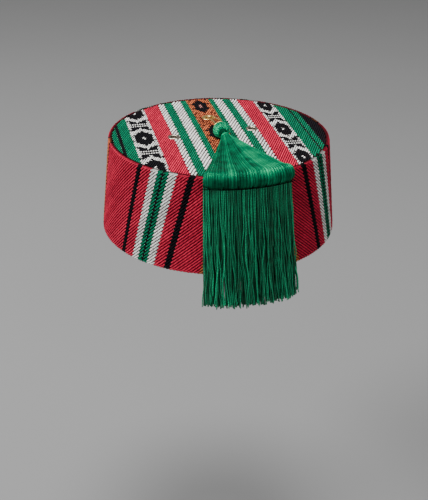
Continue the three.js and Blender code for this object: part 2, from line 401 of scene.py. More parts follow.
def cord_tree():
    """Geometry nodes that spin a cord along every line of a mesh of loose edges."""
    tree = bpy.data.node_groups.get("cords_along_lines")
    if tree:
        return tree
    tree, n, given, result = new_group(
        "cords_along_lines", "GeometryNodeTree", CORD_INPUTS, [("Cords", "Geometry")]
    )

    def place():
        return n.node("GeometryNodeInputPosition").outputs[0]

    def named(name, kind="FLOAT"):
        made = n.node("GeometryNodeInputNamedAttribute", {"Name": name}, data_type=kind)
        return made.outputs["Attribute"]

    def geometry(kind, first, **others):
        """The geometry that a node makes from another, whose socket comes first."""
        inputs = {0: first, **{key.replace("_", " "): value for key, value in others.items()}}
        return n.node("GeometryNode" + kind, inputs).outputs[0]

    def stored(start, name, value, kind="FLOAT"):
        inputs = {"Geometry": start, "Name": name, "Value": value}
        store = "GeometryNodeStoreNamedAttribute"
        return n.node(store, inputs, data_type=kind, domain="POINT").outputs[0]

    # Sway: each cord leans by its own noise, by as much as it is loose.
    own_x, own_z = n.product(named("lot"), 91.7), n.product(given["Seed"], 3.1)
    own = n.node("ShaderNodeCombineXYZ", {0: own_x, 2: own_z}).outputs[0]
    drawn = n.scaled(n.vectors("MULTIPLY", place(), (0.25, 0.25, 1.0)), given["Sway per Metre"])
    inputs = {"Vector": n.vectors("ADD", drawn, own), "Scale": 1.0, "Detail": 1.5}
    noise = n.node("ShaderNodeTexNoise", inputs).outputs["Color"]
    centred = n.vectors("SUBTRACT", noise, (0.5, 0.5, 0.5))
    lean = n.scaled(
        n.vectors("MULTIPLY", centred, (1.0, 1.0, 0.2)), n.product(given["Sway"], named("loose"))
    )
    moved = geometry("SetPosition", given["Lines"], Offset=lean)
    curve = geometry("MeshToCurve", stored(moved, "spine", place(), "FLOAT_VECTOR"))
    run = n.node("GeometryNodeSplineParameter").outputs["Length"]
    turns = n.maths("ADD", n.product(run, given["Turns per Metre"]), named("lot"))
    tilt = n.product(turns, tau)
    tilted = geometry("SetCurveTilt", stored(curve, "along", run), Tilt=tilt)

    # The cord's section: a circle with as many lobes as the cord has plies.
    inputs = {"Resolution": given["Sides"], "Radius": 1.0}
    circle = n.node("GeometryNodeCurvePrimitiveCircle", inputs).outputs[0]
    lobe = n.maths("COSINE", n.product(n.turn_of(place()), given["Lobes"]))
    swell = n.maths("ADD", n.product(lobe, given["Lobe Depth"]), 1.0)
    marked = stored(circle, "round", place(), "FLOAT_VECTOR")
    lobed = geometry("SetPosition", marked, Position=n.scaled(place(), swell))
    inputs = {
        "Curve": tilted,
        "Profile Curve": lobed,
        "Scale": named("thickness"),
        "Fill Caps": True,
    }
    spun = n.node("GeometryNodeCurveToMesh", inputs).outputs[0]

    # How far a place faces outwards: 1 on the cord's crest, -1 underneath.
    away = n.vectors("SUBTRACT", place(), named("spine", "FLOAT_VECTOR"))
    facing = n.vectors("DOT_PRODUCT", away, named("outwards", "FLOAT_VECTOR"))
    bare = stored(spun, "crest", n.maths("DIVIDE", facing, named("thickness")))
    for name in ("spine", "outwards", "thickness", "loose"):
        bare = geometry("RemoveAttribute", bare, Name=name)
    real = geometry("RealizeInstances", geometry("SetShadeSmooth", bare))
    tree.links.new(geometry("SetMaterial", real, Material=given["Finish"]), result[0])
    return tree


def cord(points, thickness, lot, **others):
    """A cord's line. Thickness is a radius, and lot (0 to 1) is its place among the dye's tones,
    kept low to paint shade on the fan's partings and the hidden fringe cords.
    """
    return {"points": points, "thickness": thickness, "lot": lot, **others}


def cords(name, lines, finish, **settings):
    """A mesh of cords. The settings are inputs of the cord tree."""
    counts = [len(line["points"]) for line in lines]
    points = np.concatenate([line["points"] for line in lines])
    starts = np.cumsum([0] + counts[:-1])
    edges = [np.stack([np.arange(n - 1), np.arange(1, n)], 1) + s for s, n in zip(starts, counts)]
    mesh = bpy.data.meshes.new(name)
    mesh.from_pydata(points.tolist(), np.concatenate(edges).tolist(), [])
    for key, default in LINE_DEFAULTS.items():
        vector = key == "outwards"
        kind, field = ("FLOAT_VECTOR", "vector") if vector else ("FLOAT", "value")
        values = [
            np.broadcast_to(line.get(key, default), (n, 3) if vector else n)
            for line, n in zip(lines, counts)
        ]
        mesh.attributes.new(key, kind, "POINT").data.foreach_set(
            field, np.concatenate(values).astype(np.float32).ravel()
        )
    piece = link(name, mesh)
    modifier = piece.modifiers.new("cords", "NODES")
    modifier.node_group = cord_tree()
    values = {"finish": finish, **settings}
    for item in modifier.node_group.interface.items_tree:
        key = item.name.lower().replace(" ", "_")
        if item.in_out == "INPUT" and key in values:
            modifier[item.identifier] = values[key]
    graph = bpy.context.evaluated_depsgraph_get()
    made = bpy.data.meshes.new_from_object(
        piece.evaluated_get(graph), preserve_all_data_layers=True, depsgraph=graph
    )
    piece.modifiers.clear()
    piece.data = made
    made.name = name
    bpy.data.meshes.remove(mesh)
    return piece


# ---- finishes


def twist_group():
    """Shader group: the plies of a spun yarn, from its length and the angle round it."""
    tree = bpy.data.node_groups.get("spun_yarn")
    if tree:
        return tree
    inputs = (("Turns per Metre", "Float", 160.0), ("Plies", "Float", 2.0), ("Fuzz", "Float", 0.35))
    outputs = [(name, "Float") for name in ("Ply", "Height", "Lot", "Crest")]
    tree, s, given, result = new_group("spun_yarn", "ShaderNodeTree", inputs, outputs)
    lot = s.attribute("lot")
    start = s.product(lot, 40.0)
    turns = s.maths("ADD", s.product(s.attribute("along"), given[0], tau), start)
    angle = s.turn_of(s.attribute("round", "Vector"))
    phase = s.maths("ADD", s.product(angle, given[1]), turns)
    ply = s.maths("POWER", s.maths("ABSOLUTE", s.maths("COSINE", s.product(phase, 0.5))), 0.6)
    fuzz = s.product(s.maths("SUBTRACT", s.noise(2600.0, 2.0), 0.5), given[2])
    for socket, value in zip(result, (ply, s.maths("ADD", ply, fuzz), lot, s.attribute("crest"))):
        s.feed(socket, value)
    return tree


def twist(s, turns, plies, fuzz):
    inputs = {"Turns per Metre": turns, "Plies": plies, "Fuzz": fuzz}
    return s.node("ShaderNodeGroup", inputs, node_tree=twist_group()).outputs


def material(name):
    made = bpy.data.materials.new(name)
    made.use_nodes = True
    return made, Nodes(made.node_tree)


def yarn_finish():
    """Dyed wool yarns of the ribbed cloth. The yarn attribute says which dye a place has."""
    ready = bpy.data.materials.get("ribbed_yarn")
    if ready:
        return ready
    made, s = material("ribbed_yarn")
    count = len(YARNS)
    share = s.maths("DIVIDE", s.attribute("yarn"), float(count))
    pick = s.node("ShaderNodeValToRGB", {"Fac": share})
    ramp = pick.color_ramp
    ramp.interpolation = "CONSTANT"
    for number, name in enumerate(YARNS):
        spot = (number - 0.5) / count if number else 0.0
        stop = ramp.elements[number] if number < 2 else ramp.elements.new(spot)
        stop.position = spot
        stop.color = (*getattr(colours(), name), 1.0)
    spun = twist(s, 210.0, 2.0, 0.5)
    grain = s.noise(900.0, 2.0)
    light = s.product(
        s.span(spun["Lot"], 0.0, 1.0, 0.84, 1.14),
        s.varied(s.noise(55.0, 3.0), 0.9, 1.1),
        s.varied(grain, 0.82, 1.16),
        # The next two factors are painted shade: darker in the grooves between the plies (a little
        # lighter on each ply) and down each rib's sides towards the gaps between ribs.
        s.span(spun["Ply"], 0.0, 1.0, 0.7, 1.08),
        s.span(spun["Crest"], 0.4, 0.93, 0.1, 1.12),
    )
    normal = s.bump(spun["Height"], 0.22 * MM, 0.9)
    tone = s.dimmed(pick.outputs["Color"], light)
    s.dress(tone, s.varied(grain, *WOOL_ROUGH), normal, WOOL_SHINE)
    return made


def ground_and_gap_shade_finish():
    """The cloth between and behind the ribs: dark red wool, woven plain on the inside; it is
    painted far darker than the red yarn, as the shade in the gaps between the ribs.
    """
    made, s = material("cloth_back")
    grain = s.noise(700.0, 3.0)
    inputs = {"Scale": 260.0, "Distortion": 1.5, "Vector": s.object_place()}
    weave = s.node("ShaderNodeTexWave", inputs, wave_type="BANDS", bands_direction="DIAGONAL")
    tone = s.product(weave.outputs["Fac"], grain)
    # Both colours are painted shade: much darker than the red yarn, so the gaps between ribs read
    # dark.
    mixed = s.mix(s.span(tone, 0.1, 0.6), (0.035, 0.004, 0.006), (0.12, 0.02, 0.024))
    s.dress(mixed, s.varied(grain, *WOOL_ROUGH), s.bump(tone, 0.3 * MM, 0.8), WOOL_SHINE)
    return made


def silk_finish(name, turns, plies, fuzz, rough, shine, hollow=1.0, dyes=("silk_shade", "silk")):
    """Glossy dyed silk in strands of its own lots. Hollow is the light left under a strand."""
    dark, bright = (tuple(getattr(colours(), dye)) for dye in dyes)
    made, s = material(name)
    spun = twist(s, turns, plies, fuzz)
    cloudy = s.noise(120.0, 2.0)
    # The lot picks a tone between the dark and the bright silk; where the partings, the cores and
    # the hidden fringe cords keep it low, the dark is painted shade. The ply factor paints shade in
    # the twist's grooves.
    share = s.maths("ADD", s.product(spun["Lot"], 0.8), s.span(cloudy, 0.35, 0.65, 0.0, 0.25))
    light = s.product(
        s.span(spun["Ply"], 0.0, 1.0, 0.5, 1.1), s.span(spun["Crest"], -0.5, 0.6, hollow, 1.0)
    )
    tone = s.dimmed(s.mix(share, dark, bright), light)
    roughness = s.varied(cloudy, rough - 0.04, rough + 0.06)
    s.dress(tone, roughness, s.bump(spun["Height"], 0.1 * MM, 0.6), shine, metallic=0.45)
    return made


def metal_finish(name, metal):
    """Polished metal with fine scratches and a little tarnish in patches."""
    ready = bpy.data.materials.get(name)
    if ready:
        return ready
    tint = tuple(getattr(colours(), metal))
    tarnish = tuple(0.45 * part for part in tint)
    made, s = material(name)
    smudge = s.noise(420.0, 4.0)
    scratched = s.maths("ADD", smudge, s.noise(5200.0, 2.0))
    tone = s.mix(s.span(smudge, 0.48, 0.72, 0.0, 0.6), tint, tarnish)
    normal = s.bump(scratched, 0.05 * MM, 0.25)
    s.dress(tone, s.varied(smudge, 0.2, 0.36), normal, metallic=1.0)
    return made


# ---- the cloth's charts


def stripe(distance_mm, table):
    """The yarn of each place, by its distance from the middle of the chart."""
    edges = np.array([edge for edge, _ in table])
    kinds = np.array([yarn for _, yarn in table])
    return kinds[np.minimum(np.searchsorted(edges, distance_mm), len(kinds) - 1)]


def motif(rows, repeat_mm, start_mm, half_width_mm, across_mm, along_mm):
    """The yarns of a charted motif, which mirrors at its middle line and at its middle row."""
    grid = np.array([[LETTERS[letter] for letter in row] for row in rows])
    step = half_width_mm / (grid.shape[1] - 0.5)
    away = np.abs((along_mm - start_mm + repeat_mm / 2) % repeat_mm - repeat_mm / 2)
    row = np.round(away / ROW_MM).astype(int)
    column = np.clip(np.round(np.abs(across_mm) / step), 0, grid.shape[1] - 1).astype(int)
    return grid[np.minimum(row, len(rows) - 1), column]


def in_plain_white(x_mm):
    patterned = np.any([(x_mm > low) & (x_mm <= high) for low, high, *_ in CROWN_MOTIFS], axis=0)
    return (stripe(x_mm, CROWN_STRIPES_MM) == WHITE) & ~patterned


def crown_yarn(x_mm, y_mm):
    yarn = stripe(x_mm, CROWN_STRIPES_MM)
    for low, high, *chart in CROWN_MOTIFS:
        letters = motif(*chart, (high - low) / 2, x_mm - (low + high) / 2, y_mm)
        yarn = np.where((x_mm > low) & (x_mm <= high), letters, yarn)
    return yarn


def band_yarn(across_mm):
    return stripe(np.abs(across_mm - BAND_MIRROR_MM), BAND_STRIPES_MM)


# ---- the cloth's surfaces

WALL_RUN = (HEIGHT - LIP_ROUND - HEM_ROUND) / cos(CONE)
RIM_RUN = RIM_RADIUS / sin(CONE)  # the flat cloth's radius at the foot of the wall
LIP_TURN = 150  # degrees
LIP_TURN_FRONT = 105
LIP_RUN = radians(LIP_TURN) * LIP_ROUND
HEM_RUN = radians(95) * HEM_ROUND


def wall_profile(rise, out):
    """(radius, height) on the band's outline, a run of cloth up from the foot of its wall."""
    rise, out = np.broadcast_arrays(np.asarray(rise, float), out)
    on_wall = np.clip(rise, 0, WALL_RUN)
    foot_radius = RIM_RADIUS - HEM_ROUND * tan(CONE)
    radius = foot_radius - on_wall * sin(CONE)
    height = HEM_ROUND + on_wall * cos(CONE)
    over = np.clip(rise - WALL_RUN, 0, None) / LIP_ROUND
    under = np.clip(-rise, 0, None) / HEM_ROUND
    angle = CONE + over - under
    round_by = np.where(rise > WALL_RUN, LIP_ROUND, np.where(rise < 0, HEM_ROUND, 0.0))
    radius = radius - round_by * cos(CONE) + (round_by + out) * np.cos(angle)
    height = height - round_by * sin(CONE) + (round_by + out) * np.sin(angle)
    return radius, height


def around(angle, radius, height):
    """Places at an angle from +Y towards the wearer's right."""
    return np.stack([-radius * np.sin(angle), radius * np.cos(angle), height + 0 * radius], -1)


def crown_height(x, y):
    return CROWN_EDGE_Z + CROWN_DOME * (1 - (x**2 + y**2) / CROWN_RADIUS**2)


CROWN_RIB_TOP = 0.95 * MM  # above the cloth that the ribs stand on
RIB_STEP = 2.0 * MM
LOOK_STEP = 0.2 * MM
EDGE_RINGS = np.array([-0.75, -0.02, 0.02, 0.75]) * MM  # a rib's rings round a change of yarn


def rib_line(run, yarn, place, rng, thickness, pinch):
    """One rib: rings where its yarn changes, pinched there, and at even steps between."""
    changes = np.nonzero(np.diff(yarn))[0]
    edges = (run[changes] + run[changes + 1]) / 2
    thin = np.concatenate([run[[0, -1]], edges])
    marks = np.concatenate([run[[0, -1]], (edges[:, None] + EDGE_RINGS).ravel()])
    even = np.arange(run[0], run[-1], RIB_STEP)
    gap = np.abs(even[:, None] - marks[None, :]).min(1)
    rings = np.unique(np.concatenate([marks, even[gap > 0.5 * MM]]))
    rings = rings[(rings >= run[0]) & (rings <= run[-1])]
    gaps = np.abs(rings[:, None] - thin[None, :])
    near, middle = gaps.min(1), thin[gaps.argmin(1)]
    lot = rng.random()
    wave = 1 + 0.07 * np.sin(rings / (2.6 * MM) + rng.uniform(0, 6.28))
    thickness = thickness * np.where(near < 0.4 * MM, pinch, 1.0) * wave
    at = np.searchsorted(run, rings)
    last = len(run) - 1
    picked, before = yarn[np.clip(at, 0, last)], yarn[np.clip(at - 1, 0, last)]
    just_before = (near < 0.1 * MM) & (rings < middle)
    picked = np.where(just_before, before, picked)
    return cord(place(rings), thickness, lot, yarn=picked)


def runs_inside(inside):
    """A slice for each unbroken stretch of True that is long enough for a rib."""
    edges = np.diff(np.concatenate([[0], inside.astype(int), [0]]))
    ends = zip(np.nonzero(edges == 1)[0], np.nonzero(edges == -1)[0])
    return [slice(first, end) for first, end in ends if end - first > 6]


def band_ribs(side, rng):
    """Ribs of one half of the band, from the front middle to the back seam."""
    pitch, slope = sizes().band_pitch, sizes().band_rib_angle
    sunk = -pitch * 0.4
    seam = pi * sin(CONE)
    across, down = sin(slope), cos(slope)
    low = (RIM_RUN - WALL_RUN - LIP_RUN) * down * cos(seam) * 0.9
    high = RIM_RUN + RIM_RUN * sin(seam)
    lines = []

    def spot(t, s):
        x = t * across + s * down
        y = t * down - s * across
        return x, np.hypot(x, y), np.arctan2(x, y)

    for number in range(int(low / pitch), int(high / pitch)):
        t = number * pitch
        centre = -t * across / down
        s = np.arange(centre, centre + RIM_RUN * sin(seam) / down + 0.01, LOOK_STEP)
        x, radius, turn = spot(t, s)
        rise = RIM_RUN - radius
        # The lip is rolled over less at the front of the hat than at its sides and back.
        rolled = np.clip((turn / seam - 0.12) / 0.2, 0, 1)
        lip = LIP_ROUND * np.radians(LIP_TURN_FRONT + (LIP_TURN - LIP_TURN_FRONT) * rolled)
        inside = (rise > -HEM_RUN) & (rise < WALL_RUN + lip) & (turn >= 0) & (turn <= seam)
        for part in runs_inside(inside):
            yarn = band_yarn(x[part] / MM)

            def place(rings, t=t):
                _, radius, turn = spot(t, rings)
                r, z = wall_profile(RIM_RUN - radius, sunk)
                angle = SEAM_TURN + side * (pi - turn / sin(CONE))
                return around(angle, r, z)

            line = rib_line(s[part], yarn, place, rng, thickness=pitch * 0.5, pinch=0.78)
            flat = line["points"] * (1, 1, 0)
            line["outwards"] = flat / np.linalg.norm(flat, axis=1, keepdims=True)
            lines.append(line)
    return lines


def crown_ribs(rng):
    """The crown's ribs: broad ones in the white stripes, and fine, close ones in the others."""
    slope = sizes().crown_rib_angle
    along = np.array([cos(slope), sin(slope)])
    across = np.array([-along[1], along[0]])
    reach = CROWN_RADIUS + 0.2 * MM
    holes = [np.mean(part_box(node), axis=0)[:2] for node in EYELETS.values()]
    lines = []
    sets = ((sizes().crown_pitch, 0.5, False), (sizes().white_pitch, 0.475, True))
    for pitch, share, white in sets:
        thickness = pitch * share
        rise = CROWN_RIB_TOP - thickness
        for number in range(-int(reach / pitch), int(reach / pitch) + 1):
            t = number * pitch
            s = np.arange(-reach, reach, LOOK_STEP)
            at = t * across[None, :] + s[:, None] * along[None, :]
            inside = (np.hypot(*at.T) < reach) & (in_plain_white(at[:, 0] / MM) == white)
            for hole in holes:
                inside &= np.hypot(*(at - hole).T) > EYELET_HOLE + thickness - 0.5 * MM
            for part in runs_inside(inside):
                yarn = crown_yarn(*at[part].T / MM)

                def place(rings, t=t, rise=rise):
                    spot = t * across[None, :] + rings[:, None] * along[None, :]
                    height = crown_height(*spot.T) + rise
                    return np.concatenate([spot, height[:, None]], 1)

                lines.append(rib_line(s[part], yarn, place, rng, thickness, pinch=0.85))
    return lines


def band_wall(finish):
    """The closed wall under the ribs, with its rolled top and its hem."""
    sink = -1.0 * MM
    outer = []
    for rise in np.concatenate(
        [
            np.linspace(-HEM_RUN, 0, 5),
            np.linspace(0, WALL_RUN, 12)[1:-1],
            np.linspace(WALL_RUN, WALL_RUN + LIP_RUN, 8),
        ]
    ):
        depth = sink * (0.75 if rise > WALL_RUN or rise < 0 else 1.0)
        outer.append(tuple(float(part) for part in wall_profile(rise, depth)))
    top_inner = TOP_RADIUS + 0.15 * MM - WALL
    inner = [
        (top_inner, HEIGHT - 2.2 * MM),
        (top_inner + 0.5 * (RIM_RADIUS - TOP_RADIUS), HEIGHT / 2),
        (RIM_RADIUS - WALL, 1.0 * MM),
        (RIM_RADIUS - WALL + 0.4 * MM, 0.5 * MM),
    ]
    points, faces = turned(outer + inner, 240)
    return mesh_piece("band_wall", points, faces, finish)


# ---- the tassel


def tassel_angle(share):
    return TASSEL_LEFT + (TASSEL_RIGHT - TASSEL_LEFT) * share


def fan_paths(shares, depth, samples):
    """Lines of strands: from the neck over the crown's edge, round the roll to the stitches."""
    stations = (0.2, 0.45, 0.72, 0.91)
    heights = (4.9 * MM, 3.7 * MM, 3.5 * MM, 4.4 * MM)
    lines = []
    for share in shares:
        side = 2 * share - 1
        fullness = sqrt(max(0.0, 1 - 0.86 * abs(side) ** 5))
        angle = tassel_angle(share)
        neck_turn = pi * (0.5 + 0.47 * side)
        neck = NECK + np.array([0, 0, FAN_BASE + 3.3 * MM])
        start = neck + (NECK_HALF_WIDTH - depth) * np.array(
            [cos(neck_turn), 0, sin(neck_turn)]
        )
        edge = around(angle, FAN_EDGE_RADIUS, 0)
        points = [start]
        for along, height in zip(stations, heights):
            flat = start + (edge - start) * along
            flat = flat - np.array([3.2 * MM * sin(pi * along) * max(side, 0) ** 2, 0, 0])
            lift = FAN_BASE + max(height * fullness - depth, 0.3 * MM)
            blend = min(1.0, along / 0.45)
            level = start[2] * (1 - blend) + lift * blend
            points.append(np.array([flat[0], flat[1], level]))
        roll = ROLL_RADIUS * (0.66 + 0.34 * fullness) - depth
        for a in np.radians(np.linspace(97, -72, 10)):
            radius = ROLL_CENTRE_RADIUS + roll * cos(a)
            points.append(around(angle, radius, ROLL_CENTRE_Z + roll * sin(a)))
        lines.append(smooth_line(np.array(points), samples))
    return lines


def smooth_line(points, samples):
    """A centripetal curve through points, evenly sampled by length."""
    knots = np.concatenate([[0], np.cumsum(np.linalg.norm(np.diff(points, axis=0), axis=1) ** 0.5)])
    slopes = np.gradient(points, knots, axis=0)
    fine = np.linspace(0, knots[-1], samples * 4)
    i = np.clip(np.searchsorted(knots, fine) - 1, 0, len(knots) - 2)
    step = (knots[i + 1] - knots[i])[:, None]
    u = ((fine - knots[i])[:, None]) / step
    curve = (
        (2 * u**3 - 3 * u**2 + 1) * points[i]
        + (u**3 - 2 * u**2 + u) * step * slopes[i]
        + (-2 * u**3 + 3 * u**2) * points[i + 1]
        + (u**3 - u**2) * step * slopes[i + 1]
    )
    runs = np.concatenate([[0], np.cumsum(np.linalg.norm(np.diff(curve, axis=0), axis=1))])
    even = np.linspace(0, runs[-1], samples)
    return np.stack([np.interp(even, runs, curve[:, k]) for k in range(3)], 1)


def fan_strands(rng):
    """Two layers of strands, gathered into locks, the partings between them darkened as painted
    shade and the fan painted lighter towards the wearer's right.
    """
    count = sizes().fan_strands
    locks = sizes().fan_locks
    edges = np.linspace(0, 1, locks + 1)
    edges[1:-1] += rng.uniform(-0.3, 0.3, locks - 1) / locks
    # Each lock's tone is random, times a painted light that grows towards the wearer's right.
    tones = rng.uniform(0.12, 0.85, locks) * np.linspace(0.6, 1.15, locks)
    width = np.linalg.norm(fan_paths([1.0], 0, 44)[0] - fan_paths([0.0], 0, 44)[0], axis=1)
    lines = []
    for layer in range(2):
        shares = (np.arange(count) + 0.5 * layer + rng.uniform(-0.3, 0.3, count)) / count
        shares = np.clip(np.sort(shares), 0.002, 0.998)
        for share, path in zip(shares, fan_paths(shares, (0.35 + 0.5 * layer) * MM, 44)):
            lock = min(int(np.searchsorted(edges, share)) - 1, locks - 1)
            within = (share - edges[lock]) / (edges[lock + 1] - edges[lock])
            crown = 1 - abs(2 * within - 1) ** 1.6
            radius = np.clip(0.52 * width / count, 0.14 * MM, 0.36 * MM)
            lift = (0.9 * crown - 0.6 + rng.uniform(-0.12, 0.12)) * MM
            thickness = radius * rng.uniform(0.85, 1.15)
            # Painted shade: a strand's lot falls towards its lock's edges, darkening the partings.
            lot = tones[lock] * (0.02 + 0.98 * crown) * rng.uniform(0.7, 1.0)
            lines.append(cord(path + np.array([0, 0, lift]), thickness, lot))
    return lines


def fan_core(finish):
    """The body under the strands, closed at both ends of the roll. It takes the dark silk, painted
    shade seen between the strands.
    """
    shares = np.linspace(0, 1, 33)
    tops = fan_paths(shares, 0.8 * MM, 26)
    rings = []
    for share, top in zip(shares, tops):
        angle = tassel_angle(share)
        wall_r, _ = wall_profile(ROLL_BOTTOM_Z, 0.5 * MM)
        low = around(angle, wall_r, ROLL_BOTTOM_Z + 0.6 * MM)
        corner = around(angle, TOP_RADIUS + 0.7 * MM, HEIGHT + 0.6 * MM)
        neck = np.array([top[0][0], top[0][1], FAN_BASE + 0.2 * MM])
        under = [corner + (neck - corner) * k for k in (0, 0.25, 0.5, 0.75, 1.0)]
        rings.append(np.concatenate([top, [low], under]))
    count = len(rings[0])
    points = np.concatenate(rings)
    faces = []
    for i in range(len(rings) - 1):
        for j in range(count):
            k = (j + 1) % count
            faces.append((i * count + j, (i + 1) * count + j, (i + 1) * count + k, i * count + k))
    faces.append(tuple(range(count)))
    faces.append(tuple(reversed(range((len(rings) - 1) * count, len(rings) * count))))
    return mesh_piece("fan_core", points, faces, finish)


def fringe_lines(layers, columns, rng):
    """Hanging cords, layer by layer from the band outwards. The outer ones are the brightest; the
    hidden ones are painted dark, as the shade behind the outer cords.
    """
    width = sizes().cord_width
    lines = []
    for layer in layers:
        out_top = (0.9 + 1.05 * layer) * MM
        out_foot = (1.0 + 1.75 * layer) * MM
        outer = layer >= OUTER_LAYER
        for column in range(columns):
            share = (column + 0.5 * (layer % 2) + rng.uniform(-0.35, 0.35)) / columns
            share = min(max(share, 0.0), 1.0)
            foot = share + rng.normal(0, FOOT_STRAY[outer])
            foot = min(max(foot, -0.015), 1.015)
            if outer and rng.random() < STRAY_CHANCE:
                foot += rng.uniform(-0.06, 0.06)
            foot_z = FRINGE_BOTTOM_Z + rng.uniform(*END_RISE_MM[outer]) * MM
            if outer and rng.random() < SHORT_CHANCE:
                foot_z += rng.uniform(2, 7) * MM
            down = np.linspace(0, 1, 60)
            z = ROLL_BOTTOM_Z + 1.2 * MM
            z = z + (foot_z - z) * down
            angle = tassel_angle(share)
            low = FRINGE_FOOT_LEFT + (FRINGE_FOOT_RIGHT - FRINGE_FOOT_LEFT) * foot
            angle = angle + (low - angle) * down**1.2
            edge = 1 - 0.5 * abs(2 * share - 1) ** 6
            out = (out_top + (out_foot - out_top) * down**1.3) * edge
            out = out + rng.uniform(-0.5, 0.5) * MM * down
            flick = rng.uniform(-0.4, 1.6) * MM * np.clip(down - 0.86, 0, 1) ** 2 / 0.02
            wall = RIM_RADIUS + (TOP_RADIUS - RIM_RADIUS) * z / HEIGHT
            # Outer cords get a random tone; the hidden ones a low one, painted shade behind the
            # outer cords.
            bright = 0.15 + 0.85 * rng.random() if outer else 0.2 * rng.random()
            thickness = 0.5 * width * rng.uniform(0.8, 1.12) * CORD_PLUMP[outer]
            points = around(angle, wall + out + flick, z)
            loose, outwards = np.clip(down * 1.6, 0, 1), around(angle, np.ones(60), 0 * z)
            lines.append(cord(points, thickness, bright, loose=loose, outwards=outwards))
    return lines


def meridians(centre, radius, count, first, last, rng):
    """Silk wound on the ball, from its front pole to its neck."""
    lines = []
    for i in range(count):
        turn = tau * (i + rng.uniform(-0.2, 0.2)) / count
        lean = np.linspace(first, last, 22)
        ring = radius * np.sin(lean)
        points = centre + np.stack(
            [ring * cos(turn), -radius * np.cos(lean), ring * sin(turn)], 1
        )
        thickness = np.clip(0.62 * tau * ring / count, 0.08 * MM, 0.42 * MM)
        lines.append(cord(points, thickness, rng.random()))
    return lines


# ---- operators


class FEZ_OT_stage(bpy.types.Operator):
    """Set the camera, the floor and the soft lights"""

    bl_idname = "fez.stage"
    bl_label = "Stage"

    def execute(self, context):
        scene = context.scene
        camera = bpy.data.cameras.new("camera")
        camera.lens, camera.sensor_width = LENS_MM, SENSOR_MM
        camera.clip_start, camera.clip_end = 0.01, 50
        seat = bpy.data.objects.new("camera", camera)
        scene.collection.objects.link(seat)
        scene.camera = seat
        turn = Matrix.Rotation(pi - CAMERA_HEADING, 4, "Z")
        turn = turn @ Matrix.Rotation(pi / 2 - CAMERA_PITCH, 4, "X")
        turn = turn @ Matrix.Rotation(CAMERA_ROLL, 4, "Z")
        x, y, z = (part * MM for part in CAMERA_PLACE_MM)
        seat.matrix_world = Matrix.Translation((x, y, z + HEIGHT)) @ turn

        finish, s = material("plain_floor")
        base = tuple(colours().floor)
        darker = tuple(0.94 * part for part in base)
        s.dress(s.mix(s.noise(3.0, 2.0), base, darker), 0.85)
        points = [(x, y, FLOOR_Z) for x, y in ((-6, -7), (6, -7), (6, 5), (-6, 5))]
        floor = mesh_piece("floor", points, [(0, 1, 2, 3)], finish, smooth=False)

        world = bpy.data.worlds.new("soft_room")
        scene.world = world
        world.use_nodes = True
        sky = world.node_tree.nodes["Background"].inputs
        sky["Color"].default_value = (1.0, 1.0, 1.0, 1.0)
        sky["Strength"].default_value = SKY_STRENGTH
        for name, spot, size, power in LAMPS:
            lamp = bpy.data.lights.new(name, "AREA")
            lamp.shape = "DISK"
            lamp.size = size
            lamp.energy = power
            holder = bpy.data.objects.new(name, lamp)
            scene.collection.objects.link(holder)
            holder.location = spot
            aim = Vector((0, 0, HEIGHT / 2)) - Vector(spot)
            holder.rotation_mode = "QUATERNION"
            holder.rotation_quaternion = aim.to_track_quat("-Z", "Y")
        return {"FINISHED"}


class FEZ_OT_band(bpy.types.Operator):
    """Make the side band: its wall, and the ribs of striped cloth on it"""

    bl_idname = "fez.band"
    bl_label = "Side Band"

    def execute(self, context):
        rng = np.random.default_rng(sizes().seed)
        back = ground_and_gap_shade_finish()
        wall = settle(band_wall(back), "striped_cloth", "side_band")
        for name, side in (("band_weave_left", -1), ("band_weave_right", 1)):
            weave = cords(name, band_ribs(side, rng), yarn_finish(), sides=6)
            settle(weave, "striped_cloth")
        # The crown's cloth under its ribs takes the same dark ground, painted shade in the gaps
        # between ribs.
        bpy.data.objects["crown_top"].data.materials[0] = back
        return {"FINISHED"}


class FEZ_OT_crown(bpy.types.Operator):
    """Make the crown's ribs of striped cloth with its motifs"""

    bl_idname = "fez.crown"
    bl_label = "Crown"

    def execute(self, context):
        rng = np.random.default_rng(sizes().seed + 1)
        weave = cords("crown_weave", crown_ribs(rng), yarn_finish(), sides=6)
        settle(weave, "striped_cloth")
        return {"FINISHED"}


class FEZ_OT_eyelets(bpy.types.Operator):
    """Make the three pressed eyelets in the crown"""

    bl_idname = "fez.eyelets"
    bl_label = "Eyelets"

    def execute(self, context):
        for name, node in EYELETS.items():
            low, high = np.array(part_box(node))
            flange = (high[0] - low[0]) / 2
            crest = (flange + EYELET_BORE) / 2
            rise = high[2] - 1.2 * MM
            ring = flange - crest
            profile = [
                (EYELET_BORE, low[2]),
                (flange - 0.6 * MM, low[2]),
                (flange - 0.4 * MM, low[2] + 0.7 * MM),
                (EYELET_BORE + 0.6 * MM, low[2] + 0.7 * MM),
                (EYELET_BORE + 0.6 * MM, rise + 0.3 * MM),
            ]
            for a in np.radians(np.linspace(-12, 192, 15)):
                up = rise + 0.45 * MM + 0.85 * MM * sin(a)
                profile.append((crest + ring * cos(a), up))
            points, faces = turned(profile, 64)
            centre = (low + high) / 2
            points = placed(points, (centre[0], centre[1], 0))
            # The front eyelet is the same metal as the side ones; its gold finish paints the
            # reflection of the orange cloth round it.
            gilt = name == "vent_front"
            finish = metal_finish("gilt", "gold") if gilt else metal_finish("old_nickel", "nickel")
            piece = mesh_piece(name, points, faces, finish)
            settle(piece, "gold_metal" if gilt else "eyelet_metal", node)
        return {"FINISHED"}


